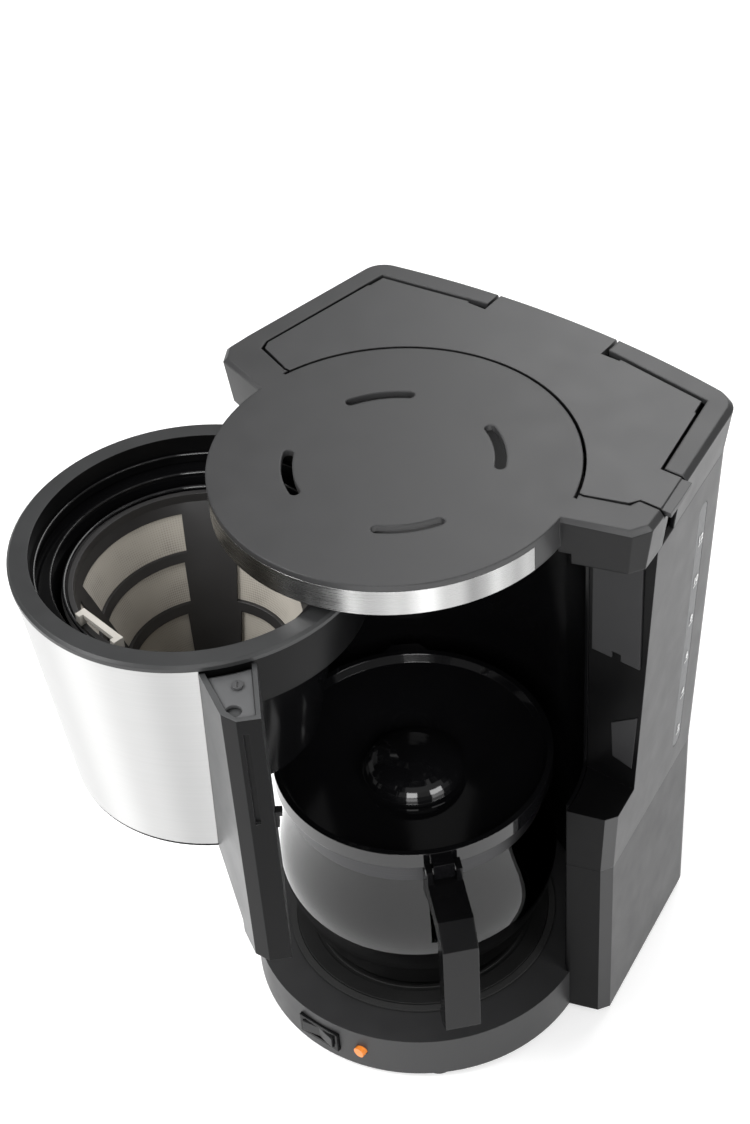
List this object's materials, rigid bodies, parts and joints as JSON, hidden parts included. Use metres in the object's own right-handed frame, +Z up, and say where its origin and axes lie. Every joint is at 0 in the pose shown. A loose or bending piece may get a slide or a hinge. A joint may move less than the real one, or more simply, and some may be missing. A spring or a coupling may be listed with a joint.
{
  "type": "drip coffee maker",
  "caption": "Drip coffee maker with a filter holder that swings out on a side door, a flip-up tank lid, a glass jug on a warming plate and a water level window.",
  "frame": {"origin": "on the table plane, under the common axis of the round head and the jug", "axes": "+Z up, -Y towards the user at the front, +X towards the level window side"},
  "size_m": [0.2564, 0.2914, 0.33],
  "materials": {
    "black_plastic": "fine matte moulded",
    "black_rubber": "matt",
    "steel": "plain",
    "anthracite": "satin anthracite, fine spark texture",
    "plate_coating": "non-stick coating",
    "aluminium": "as cast",
    "white_sleeve": "plain",
    "black_gloss": "high gloss",
    "amber_lens": "clear tinted",
    "tank_plastic": "translucent grey",
    "frosted_window": "frosted",
    "silicone": "translucent",
    "brushed_steel": "brushed round the axis",
    "nylon_mesh": "fine woven nylon",
    "nylon_handle": "satin",
    "glass": "clear"
  },
  "bodies": {
    "machine": {"base_plate": "black_plastic", "base_screws": "steel", "bay_liner": "black_gloss", "check_valve": "white_sleeve", "cold_hose": "silicone", "cord_gland": "black_plastic", "door_hinge_pin": "steel", "head_cover": "anthracite", "heat_spreader": "aluminium", "heater_bracket": "steel", "heater_tube": "aluminium", "hot_hose": "silicone", "inlet_hose": "silicone", "latch_plate": "anthracite", "level_window": "frosted_window", "lid_hinge_pins": "steel", "lower_housing": "anthracite", "pilot_lens": "amber_lens", "plate_seal": "black_rubber", "riser_tube": "silicone", "rubber_feet": "black_rubber", "spray_head": "black_plastic", "switch_bezel": "black_gloss", "terminal_block": "white_sleeve", "thermal_fuse": "white_sleeve", "thermostat": "steel", "trim_band": "brushed_steel", "upper_housing": "anthracite", "warming_plate": "plate_coating", "water_tank": "tank_plastic"},
    "tank_lid": {"tank_lid": "anthracite"},
    "filter_door": {"door_ring": "anthracite", "door_cup": "black_gloss", "door_steel": "brushed_steel", "wing_right": "anthracite", "wing_left": "anthracite", "wing_cover_left": "anthracite", "wing_cover_right": "anthracite", "wing_screw_left": "steel", "wing_screw_right": "steel", "latch_tongue": "black_plastic", "filter_basket": "black_gloss", "filter_frame": "black_plastic", "filter_mesh": "nylon_mesh", "filter_handle": "nylon_handle"},
    "drip_valve": {"valve_plunger": "black_plastic", "valve_seal": "silicone", "valve_spring": "steel"},
    "jug": {"jug_glass": "glass", "jug_band": "brushed_steel", "jug_handle": "black_gloss", "handle_screw": "steel", "jug_lid_pin": "steel"},
    "jug_lid": {"jug_lid": "black_gloss"},
    "rocker": {"switch_rocker": "black_plastic"},
    "check_ball": {"valve_ball": "steel"}
  },
  "joints": [
    {"name": "door_swing", "type": "hinge", "parent": "machine", "child": "filter_door", "pos_m": [-0.101, 0.0225, 0.23], "axis": [0, 0, 1], "range_deg": [-42, 52.4]},
    {"name": "tank_lid_hinge", "type": "hinge", "parent": "machine", "child": "tank_lid", "pos_m": [0, 0.1225, 0.3245], "axis": [-1, 0, 0], "range_deg": [0, 75]},
    {"name": "drip_valve_slide", "type": "slide", "parent": "filter_door", "child": "drip_valve", "axis": [0, 0, 1], "range_m": [0, 0.003], "stiffness_N_per_m": 120, "deforming": ["valve_spring"]},
    {"name": "jug_removal", "type": "slide", "parent": "machine", "child": "jug", "axis": [-0.5, 0.866, 0], "range_m": [-0.2, 0]},
    {"name": "jug_lid_hinge", "type": "hinge", "parent": "jug", "child": "jug_lid", "pos_m": [0.05499, -0.04952, 0.1425], "axis": [-0.6691, -0.7431, 0], "range_deg": [-15, 0]},
    {"name": "power_switch", "type": "hinge", "parent": "machine", "child": "rocker", "pos_m": [0, -0.0845, 0.017], "axis": [0, 0, 1], "range_deg": [0, 5]},
    {"name": "check_valve_lift", "type": "slide", "parent": "machine", "child": "check_ball", "axis": [0, 0, 1], "range_m": [0, 0.002]}
  ]
}
